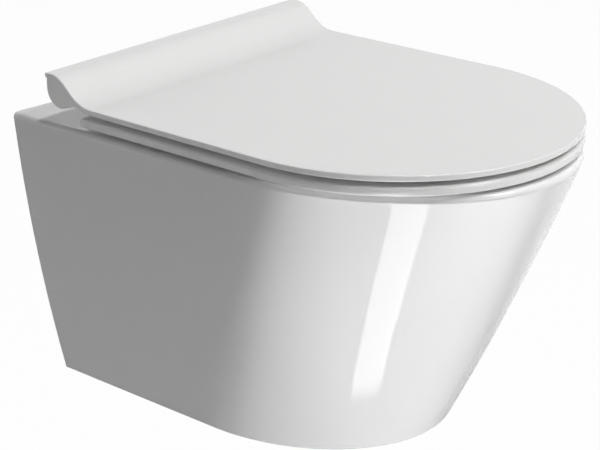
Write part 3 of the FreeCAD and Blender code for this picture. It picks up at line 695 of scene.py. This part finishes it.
def rubber_sleeve():
    low, high = SLEEVE
    profile = [(low, SLEEVE_BORE), (low, SLEEVE_R - 0.6 * MM), (low + 0.5 * MM, SLEEVE_R)]
    height = low + 2.5 * MM
    while height + RIB_PITCH < DECK_UNDERSIDE:
        profile += [(height + RIB_PITCH * share, SLEEVE_R - inset) for share, inset in RIB_SHAPE]
        height += RIB_PITCH
    profile += [(height, SLEEVE_R), (high, SLEEVE_R), (high, SLEEVE_BORE)]
    return skin(stack(profile), closed=True)


def post_nut():
    return nut(*POST_NUT, STUD_R - 0.3 * MM, FINE_PITCH)


def both(make, height=0.0):
    """Two of a kind in one mesh, on the left and the right post."""
    return merged([make(), make()], [upright(side, height) for _, side in SIDES])


sleeve_mesh = both(rubber_sleeve)
piece("post_sleeves_ribbed", sleeve_mesh, black_rubber, "pan", "black_rubber", "post_sleeves")
nut_mesh = both(post_nut, SLEEVE[0] - POST_NUT[1])
piece("post_nuts_threaded", nut_mesh, brass, "pan", "brass", "post_nuts")

# %% [markdown]
# ## The rubber sleeve in the flush inlet
# The flush pipe is pushed into a rubber sleeve whose inside is a row of soft lips. Seen from the wall it is
# the black ring in the upper opening. Rings of changing radius give the lips and a rounded outer edge.

# %% Inlet sleeve
INLET_Z = 35 * MM
INLET_Y = (-9.9 * MM, -44 * MM)           # its rear and its front
INLET_R = 27.5 * MM
PIPE_R = 22.5 * MM
LIPS = 5
LIP_MARGIN = 1.2 * MM                     # plain rubber before the first lip and after the last
LIP_SHAPE = ((0.0, 1.5 * MM), (0.25, 0.5 * MM), (0.45, 0.0), (0.6, 0.2 * MM), (0.75, 1.3 * MM))


def inlet_sleeve():
    """Outside first, then the lips as (share of a lip's width, distance from the pipe)."""
    length = INLET_Y[0] - INLET_Y[1]
    outside = [(length, INLET_R - 1.2 * MM), (length - 1.2 * MM, INLET_R), (1.5 * MM, INLET_R),
               (0.4 * MM, INLET_R - 0.5 * MM), (0, INLET_R - 1.6 * MM), (0, PIPE_R + 1.8 * MM)]
    inside = []
    width = (length - 2 * LIP_MARGIN) / LIPS
    for i in range(LIPS):
        start = LIP_MARGIN + width * i
        inside += [(start + width * share, PIPE_R + off) for share, off in LIP_SHAPE]
    return skin(stack(outside + inside + [(length, PIPE_R + 1.5 * MM)], 96), closed=True)


inlet_mesh = merged([inlet_sleeve()], [along_y(0, INLET_Y[0], INLET_Z)])
piece("inlet_sleeve_lipped", inlet_mesh, black_rubber, "pan", "black_rubber", "inlet_seal")

# %% [markdown]
# ## The soft pads under the seat and the lid
# Four pads carry the seat on the rim, and four smaller ones carry the lid on the seat. Each is a long oval
# with a domed foot, moulded in pale rubber with a peg that plugs into the plastic. Their ovals are made as
# rings too: each ring is the outline drawn in a little, most of all at the foot.

# %% Pads
PEG = (2.5 * MM, 2.7 * MM)                # radius and length


def oval_ring(length, width, inset, height, steps=40):
    """A ring with straight sides and round ends, drawn in by inset."""
    reach, half = width / 2 - inset, (length - width) / 2
    points = []
    for i in range(steps):
        angle = 2 * math.pi * i / steps
        end = half if math.sin(angle) >= 0 else -half
        points.append(Vector((reach * math.cos(angle), end + reach * math.sin(angle), height)))
    return points


def pad(length, width, low, high):
    """A pad from low to high with a domed foot, and the peg on top of it."""
    dome = low + 0.12 * MM                # where the foot's slight dome meets its rounded edge
    soft = 1.0 * MM
    outline = [(0.38 * width, low), (0.9 * soft, dome)]
    for turn in (0.35, 0.7, 1.05, 1.57):
        outline.append((soft * (1 - math.sin(turn)), dome + soft * (1 - math.cos(turn))))
    outline += [(0.0, high - 0.3 * MM), (0.3 * MM, high)]
    foot = skin([oval_ring(length, width, inset, height) for inset, height in outline], caps=True)
    peg = skin(stack([(high - 0.5 * MM, PEG[0]), (high + PEG[1], PEG[0])], 24), caps=True)
    return foot, peg


def pads(places, size, low, high):
    """The same pads left and right, at (x, y, degrees about Z)."""
    meshes, spots = [], []
    for _, side in SIDES:
        for x, y, degrees in places:
            turn = Matrix.Rotation(math.radians(side * degrees), 4, "Z")
            spot = Matrix.Translation((side * x, y, 0)) @ turn
            meshes += pad(*size, low, high)
            spots += [spot, spot]
    return merged(meshes, spots)


SEAT_PADS = ((146 * MM, -175 * MM, 0), (122 * MM, -388 * MM, 30))
SEAT_PAD = (26 * MM, 11 * MM)             # length and width
LID_PADS = ((147 * MM, -240 * MM, 0), (52 * MM, -444 * MM, 70))
LID_PAD = (20 * MM, 9 * MM)
RING_LOW, RING_HIGH = 91.5 * MM, 99.6 * MM                # the seat ring's underside and top
LID_UNDERSIDE = 104.4 * MM
seat_pads = pads(SEAT_PADS, SEAT_PAD, DECK_Z, RING_LOW)
lid_pads = pads(LID_PADS, LID_PAD, RING_HIGH, LID_UNDERSIDE)
piece("seat_pads_domed", seat_pads, pale_rubber, "seat", "bumper_rubber", "seat_bumpers")
piece("lid_pads_domed", lid_pads, pale_rubber, "lid", "bumper_rubber", "lid_bumpers")

# %% [markdown]
# ## The seat
# The lid hides the seat's top, but with the lid up it is what one sees first. A real seat isn't a flat ring:
# it is highest along its outer half, falls a little towards the hole and turns over its inner edge in a
# larger curve. It is made as one cross-section that goes round the D, between the outer outline and the
# outline of the hole, so that every ring of points runs once round the seat.

# %% Outlines of the seat
SEAT_HALF = 176.5 * MM
SEAT_REAR_Y = -87 * MM
NOSE_Y = -302.4 * MM                      # where the rounded front begins
SEAT_NOSE = 183.7 * MM                    # how far the front reaches past that line
HOLE_HALF = 110 * MM
HOLE_REAR_Y = -215 * MM
HOLE_NOSE = 120 * MM
HOLE_BACK = 62 * MM                       # how far the hole's rounded rear reaches back
REAR_STEPS, SIDE_STEPS, NOSE_STEPS = 14, 16, 40


def half_outlines():
    """Pairs of (outer, hole) points from the middle of the rear to the middle of the nose, at X > 0."""
    pairs = []
    for i in range(REAR_STEPS):
        share = i / REAR_STEPS
        turn = share * math.pi / 2
        pairs.append(((SEAT_HALF * share, SEAT_REAR_Y),
                      (HOLE_HALF * math.sin(turn), HOLE_REAR_Y + HOLE_BACK * math.cos(turn))))
    for i in range(SIDE_STEPS):
        share = i / SIDE_STEPS
        pairs.append(((SEAT_HALF, SEAT_REAR_Y + (NOSE_Y - SEAT_REAR_Y) * share),
                      (HOLE_HALF, HOLE_REAR_Y + (NOSE_Y - HOLE_REAR_Y) * share)))
    for i in range(NOSE_STEPS + 1):
        turn = i / NOSE_STEPS * math.pi / 2
        pairs.append(((SEAT_HALF * math.cos(turn), NOSE_Y - SEAT_NOSE * math.sin(turn)),
                      (HOLE_HALF * math.cos(turn), NOSE_Y - HOLE_NOSE * math.sin(turn))))
    return [(Vector(outer), Vector(hole)) for outer, hole in pairs]


def to_the_left(point):
    return Vector((-point.x, point.y))


right_half = half_outlines()
left_half = [(to_the_left(outer), to_the_left(hole)) for outer, hole in right_half[-2:0:-1]]
seat_outlines = right_half + left_half
print(len(seat_outlines), "stations round the seat")

# %% [markdown]
# The cross-section is a list of steps from the underside's outer edge, over the top and down to the
# underside's inner edge. Each step has a height, and lies at a distance from the outer edge, at a distance
# from the hole, or at a share of the way across. So both edges keep their radius where the ring is wide and
# where it is narrow.

# %% Cross-section of the seat
EDGE_R = 3.0 * MM
UNDER_R = 1.2 * MM
INNER_R = 3.4 * MM
CROWN_DROP = 1.1 * MM                     # how far the top falls between its crown and the hole
CROWN_SHARE = 0.45                        # the share of the way across at which it begins to fall


def corner_arc(middle, height, radius, start, end, count=6):
    """Points (distance, height) on an arc, in degrees."""
    turns = [math.radians(start + (end - start) * i / count) for i in range(count + 1)]
    return [(middle - radius * math.cos(turn), height + radius * math.sin(turn)) for turn in turns]


def cross_section():
    """Steps of (what the distance is from, distance, height)."""
    outer = corner_arc(UNDER_R, RING_LOW + UNDER_R, UNDER_R, -90, 0, 4)
    outer += corner_arc(EDGE_R, RING_HIGH - EDGE_R, EDGE_R, 0, 90)
    steps = [("outer edge", distance, height) for distance, height in outer]
    for share in (0.35, 0.5, 0.62, 0.74, 0.86):
        fall = max(0.0, (share - CROWN_SHARE) / (1 - CROWN_SHARE)) ** 2
        steps.append(("across", share, RING_HIGH - CROWN_DROP * fall))
    inner = corner_arc(INNER_R, RING_HIGH - CROWN_DROP - INNER_R, INNER_R, 90, 0)
    inner += corner_arc(UNDER_R, RING_LOW + UNDER_R, UNDER_R, 0, -90, 4)
    return steps + [("hole", distance, height) for distance, height in inner]


def ring_point(outer, hole, start, distance):
    across = hole - outer
    if start == "outer edge":
        return outer + across.normalized() * distance
    if start == "hole":
        return hole - across.normalized() * distance
    return outer + across * distance


def seat_ring():
    rings = []
    for start, distance, height in cross_section():
        points = [ring_point(outer, hole, start, distance) for outer, hole in seat_outlines]
        rings.append([Vector((point.x, point.y, height)) for point in points])
    return skin(rings, closed=True)


print(len(cross_section()), "steps round the cross-section")

# %% [markdown]
# Two arms reach back from the ring to the hinge, and each ends in a knuckle round the pin, with room for a
# damper or a bush. The arm's side view is drawn out to its width and its edges are bevelled, and the knuckle
# is turned. Together with the ring they are one moulding, so they are one piece here.

# %% Arms and knuckles, and the whole seat
HINGE_Z = 114.5 * MM
KNUCKLE_R = 9 * MM
KNUCKLE_START = 91.2 * MM                 # the X of its inner end
KNUCKLE_WIDTH = 34 * MM
SOCKET = (7 * MM, 30 * MM)                # radius and depth of the room for a damper or bush
PIN_BORE = 4.05 * MM
ARM_BEVEL = 0.7 * MM


def knuckle_point(degrees):
    """A point (y, z) just inside the knuckle, in degrees down from the front."""
    turn = math.radians(degrees)
    reach = KNUCKLE_R - 0.1 * MM
    return HINGE_Y - reach * math.cos(turn), HINGE_Z - reach * math.sin(turn)


def arm(start, end):
    """The arm's side view, drawn out from start to end along X, with bevelled edges."""
    view = [(-112 * MM, RING_HIGH - 0.5 * MM), (-92 * MM, RING_HIGH), knuckle_point(33),
            (HINGE_Y - 5 * MM, HINGE_Z - 5 * MM), knuckle_point(80), (-84 * MM, RING_LOW),
            (-112 * MM, RING_LOW + 0.5 * MM)]
    mesh = skin([[Vector((x, y, z)) for y, z in view] for x in (start, end)], caps=True)
    bmesh.ops.bevel(mesh, geom=mesh.edges[:], offset=ARM_BEVEL, segments=3, affect="EDGES",
                    clamp_overlap=True)
    return mesh


def knuckle():
    soft = 0.8 * MM
    end = KNUCKLE_WIDTH
    radius, depth = SOCKET
    profile = [(0, radius), (0, KNUCKLE_R - soft), (0.3 * soft, KNUCKLE_R - 0.3 * soft), (soft, KNUCKLE_R),
               (end - soft, KNUCKLE_R), (end - 0.3 * soft, KNUCKLE_R - 0.3 * soft), (end, KNUCKLE_R - soft),
               (end, PIN_BORE), (depth, PIN_BORE), (depth, radius)]
    return skin(stack(profile, 64), closed=True)


def whole_seat():
    meshes, places = [seat_ring()], [Matrix.Identity(4)]
    for _, side in SIDES:
        near, far = sorted((side * KNUCKLE_START, side * (KNUCKLE_START + KNUCKLE_WIDTH)))
        outwards = Matrix.Rotation(side * math.pi / 2, 4, "Y")
        knuckle_place = Matrix.Translation((side * KNUCKLE_START, HINGE_Y, HINGE_Z)) @ outwards
        meshes += [arm(near, far), knuckle()]
        places += [Matrix.Identity(4), knuckle_place]
    return merged(meshes, places)


piece("seat_crowned", whole_seat(), seat_plastic, "seat", "seat_plastic", "seat_ring")

# %% [markdown]
# ## Ribs on the release buttons
# The two buttons under the hinge are pressed with a finger to lift the seat off. Three low ribs on each
# give the finger a hold. They are thin rounded bars that stand half in the button's front.

# %% Button ribs
BUTTON_FRONT_Y = HINGE_Y - 12.6 * MM
BUTTON_Z = 98.1 * MM
RIB_LENGTH = 9 * MM
RIB_R = 0.45 * MM
RIB_STEPS = (-2.2 * MM, 0.0, 2.2 * MM)    # below, at and above the middle of the button


def rib():
    end, soft = RIB_LENGTH / 2, 0.5 * RIB_R
    profile = [(-end, soft), (-end + soft, RIB_R), (end - soft, RIB_R), (end, soft)]
    return skin(stack(profile, 16), caps=True)


def rib_place(side, up):
    """On the button's front, lying along X."""
    middle = Matrix.Translation((side * HINGE_X, BUTTON_FRONT_Y, BUTTON_Z + up))
    return middle @ Matrix.Rotation(math.pi / 2, 4, "Y")


for name, side in SIDES:
    spots = [rib_place(side, up) for up in RIB_STEPS]
    piece(f"button_ribs_{name}", merged([rib() for _ in spots], spots), button_grey,
          f"release_{name}", "button_plastic")

# %% [markdown]
# ## The floor and the white room
# The photograph stands on pure white. Here a pale floor lies under the pan and catches its shadow, and the
# world round it is white to the camera, and to rays that leave a glossy or clear surface. It is much darker
# to the rays that light the pan, so the lamps alone shape it. The floor does the same with a Mix Shader: to
# the camera nearly all of it is a white glow, and the small rest is a matt floor that carries the shadow.

# %% The white room
ROOM_LIGHT = 0.05
SEEN_RAYS = ("Is Camera Ray", "Is Glossy Ray", "Is Transmission Ray")


def seen_directly(recipe):
    """1 for rays from the camera, off a glossy surface or through a clear one, and 0 for light."""
    first, second, third = [recipe.node("ShaderNodeLightPath", output=ray) for ray in SEEN_RAYS]
    return recipe.maths("MINIMUM", first + second + third, 1.0)


def white_room():
    world = bpy.data.worlds.new("white_room")
    bpy.context.scene.world = world
    recipe = Recipe(world)
    dim, white = [
        recipe.node("ShaderNodeBackground", None, {"Color": grey(1.0), "Strength": strength})
        for strength in (ROOM_LIGHT, 1.0)]
    return recipe.finished(recipe.mix_shaders(seen_directly(recipe), dim, white))


print("world", white_room().name)

# %% [markdown]
# The floor is a single face, large enough to fill the picture from every side. It rides on no body of the
# object, and neither do the mirrored sheets further on. They are made by the same function.

# %% The floor
FLOOR_Z = -0.60
FLOOR_SIZE = 24.0
FLOOR_GLOW = 0.97                         # the share of the floor that glows to the camera


def emission(recipe, strength):
    return recipe.node("ShaderNodeEmission", None, {"Color": grey(1.0), "Strength": strength})


def floor_paint():
    recipe = new_finish("pale_floor")
    matt = recipe.node("ShaderNodeBsdfDiffuse", None, {"Color": grey(0.86)})
    share = seen_directly(recipe) * FLOOR_GLOW
    return recipe.finished(recipe.mix_shaders(share, matt, emission(recipe, 1.0)))


def flat_sheet(name, outline, height, paint):
    """A flat face with corners of (x, y)."""
    mesh = bmesh.new()
    mesh.faces.new([mesh.verts.new((x, y, height)) for x, y in outline])
    data = bpy.data.meshes.new(name)
    mesh.to_mesh(data)
    mesh.free()
    data.materials.append(paint)
    sheet = link(name, data)
    print(name, [round(v, 2) for v in sheet.dimensions])
    return sheet


def corners(left, right, front, rear):
    return (left, front), (right, front), (right, rear), (left, rear)


half_floor = FLOOR_SIZE / 2
flat_sheet("floor", corners(-half_floor, half_floor, -half_floor, half_floor), FLOOR_Z, floor_paint())

# %% [markdown]
# ## The lamps
# The shading says where the light came from. The wing throws a crisp wedge of shadow on the deck, and the
# seat darkens the rim's rounded edge on the left: only a small lamp nearly overhead, a little to the right,
# does both. A softbox high in front, right of the camera, leaves the left edge of the rim in the lid's
# shadow too. A low one in front lights the pan's front and the edges of lid and seat. One behind, a little
# to the left, lights the long left side evenly. Each lamp is given as a direction from the object and as the
# light that it throws on a surface facing it, where 1 shows a colour as it is written.

# %% Lamps
LIT_POINT = Vector((0.0, -0.28, -0.02))    # inside the pan, and every lamp looks at it


def towards(azimuth, elevation):
    """A direction: azimuth from the front, positive to the right, and elevation, in degrees."""
    turn, rise = math.radians(azimuth), math.radians(elevation)
    return Vector((math.sin(turn) * math.cos(rise), -math.cos(turn) * math.cos(rise), math.sin(rise)))


def softbox(name, azimuth, elevation, distance, size, light):
    """An area lamp of (width, height) whose power gives that much light at the object."""
    data = bpy.data.lights.new(name, "AREA")
    data.shape = "RECTANGLE"
    data.size, data.size_y = size
    data.energy = math.pi ** 2 * light * distance ** 2
    lamp = link(name, data)
    lamp.location = LIT_POINT + towards(azimuth, elevation) * distance
    aim(lamp, LIT_POINT)
    print(name, "at", [round(v, 2) for v in lamp.location], round(data.energy, 1), "W")


softbox("right_softbox", azimuth=14, elevation=50, distance=4.0, size=(1.0, 1.0), light=0.45)
softbox("overhead_lamp", azimuth=45, elevation=79, distance=4.0, size=(0.42, 0.42), light=0.36)
softbox("front_softbox", azimuth=-8, elevation=4, distance=2.2, size=(1.0, 0.6), light=0.23)
softbox("rear_softbox", azimuth=-164, elevation=12, distance=3.2, size=(1.4, 1.0), light=0.24)

# %% [markdown]
# ## What the glaze mirrors
# Two things on the pan's front are mirror images and not light on it. The front is paler than its left
# side, with a soft border between them: following the camera's rays off the pan says that they meet a lit
# ground in front of the wall, and a dark one behind it. And there is one long bright streak with crisp sides,
# which is a strip light that lies low in front and runs away from the pan. Both are made as flat sheets that
# glow, and that only glossy rays can see, so they add these reflections and no light.

# %% A sheet that only gloss can see
SHEET_Z = -0.45


def mirrored_sheet(name, outline, height, paint):
    sheet = flat_sheet(name, outline, height, paint)
    sheet.visible_camera = False
    sheet.visible_diffuse = False
    sheet.visible_shadow = False
    sheet.visible_transmission = False


print("mirrored sheets lie at", SHEET_Z, "m")

# %% [markdown]
# The ground's glow is a product of soft steps in X and Y, which a Mix Shader turns into a share of one
# Emission. It ends about a metre off, so that other views of the pan don't mirror a white plain.

# %% The lit ground
GROUND_GLOW = 7.1
GROUND_FRONT = (-0.06, 0.22)              # how far in front of the wall the first part comes in
GROUND_FAR = (0.10, 0.47)                 # and the second part
FIRST_PART = 0.55                         # the first part's share of the glow
GROUND_RIGHT = (-0.75, 0.22)              # it fades out again to the right, along a slanting line
GROUND_SLANT = 0.6
RIGHT_SHARE = 0.09                        # a weak share of the glow on the right
RIGHT_START = (0.0, 0.45)                 # and the X between which it comes in
GROUND_END = (0.95, 1.20)                 # it ends this far away, in front and to the left
RIGHT_END = 0.45                          # and this much nearer on the right
ROOM_SHARE = 0.14                         # the share of the glow that is as bright as the white room
GROUND_SIDES = (-1.7, 1.3, -1.7, 1.0)     # left, right, front and rear


def lit_ground():
    recipe = new_finish("lit_ground")
    x, y, _ = split(recipe, place_on_piece(recipe))
    out = 0.0 - y
    first = FIRST_PART * recipe.step(out, *GROUND_FRONT)
    in_front = first + (1 - FIRST_PART) * recipe.step(out, *GROUND_FAR)
    to_the_right = recipe.step(x + GROUND_SLANT * y, *GROUND_RIGHT)
    right = RIGHT_SHARE * recipe.step(x, *RIGHT_START)
    sideways = recipe.maths("MAXIMUM", 0.0 - x, x + RIGHT_END)
    far_off = recipe.step(recipe.maths("MAXIMUM", out, sideways), *GROUND_END)
    near_by = (in_front * (1 - to_the_right) + right) * (1 - far_off)
    dark, lit = emission(recipe, 0.0), emission(recipe, GROUND_GLOW)
    return recipe.finished(recipe.mix_shaders(near_by + ROOM_SHARE * far_off, dark, lit))


mirrored_sheet("lit_ground", corners(*GROUND_SIDES), SHEET_Z, lit_ground())

# %% [markdown]
# The strip's four corners on each side come from the streak's two edges, followed off the pan in the same
# way. Its glow is added to what lies under it, by an Add Shader with a clear surface.

# %% The strip light
# its two sides as (x, y), from the near end
STRIP_LEFT = ((-0.16, -0.41), (-0.36, -0.54), (-0.54, -0.655), (-1.35, -1.05))
STRIP_RIGHT = ((-0.07, -0.445), (-0.235, -0.615), (-0.37, -0.77), (-1.09, -1.41))
STRIP_WAY = (-0.6, -0.8)                  # the direction in which it runs away
STRIP_FADE = (0.455, 0.495)               # its near end fades in between these distances
STRIP_GLOW = 3.6                          # on top of the ground's glow
STRIP_LIFT = 0.002


def strip_glow():
    recipe = new_finish("strip_light")
    x, y, _ = split(recipe, place_on_piece(recipe))
    lit = recipe.step(STRIP_WAY[0] * x + STRIP_WAY[1] * y, *STRIP_FADE)
    clear = recipe.node("ShaderNodeBsdfTransparent")
    added = recipe.node("ShaderNodeAddShader", None, {0: emission(recipe, STRIP_GLOW), 1: clear})
    return recipe.finished(recipe.mix_shaders(lit, clear, added))


mirrored_sheet("strip_light", STRIP_LEFT + STRIP_RIGHT[::-1], SHEET_Z + STRIP_LIFT, strip_glow())
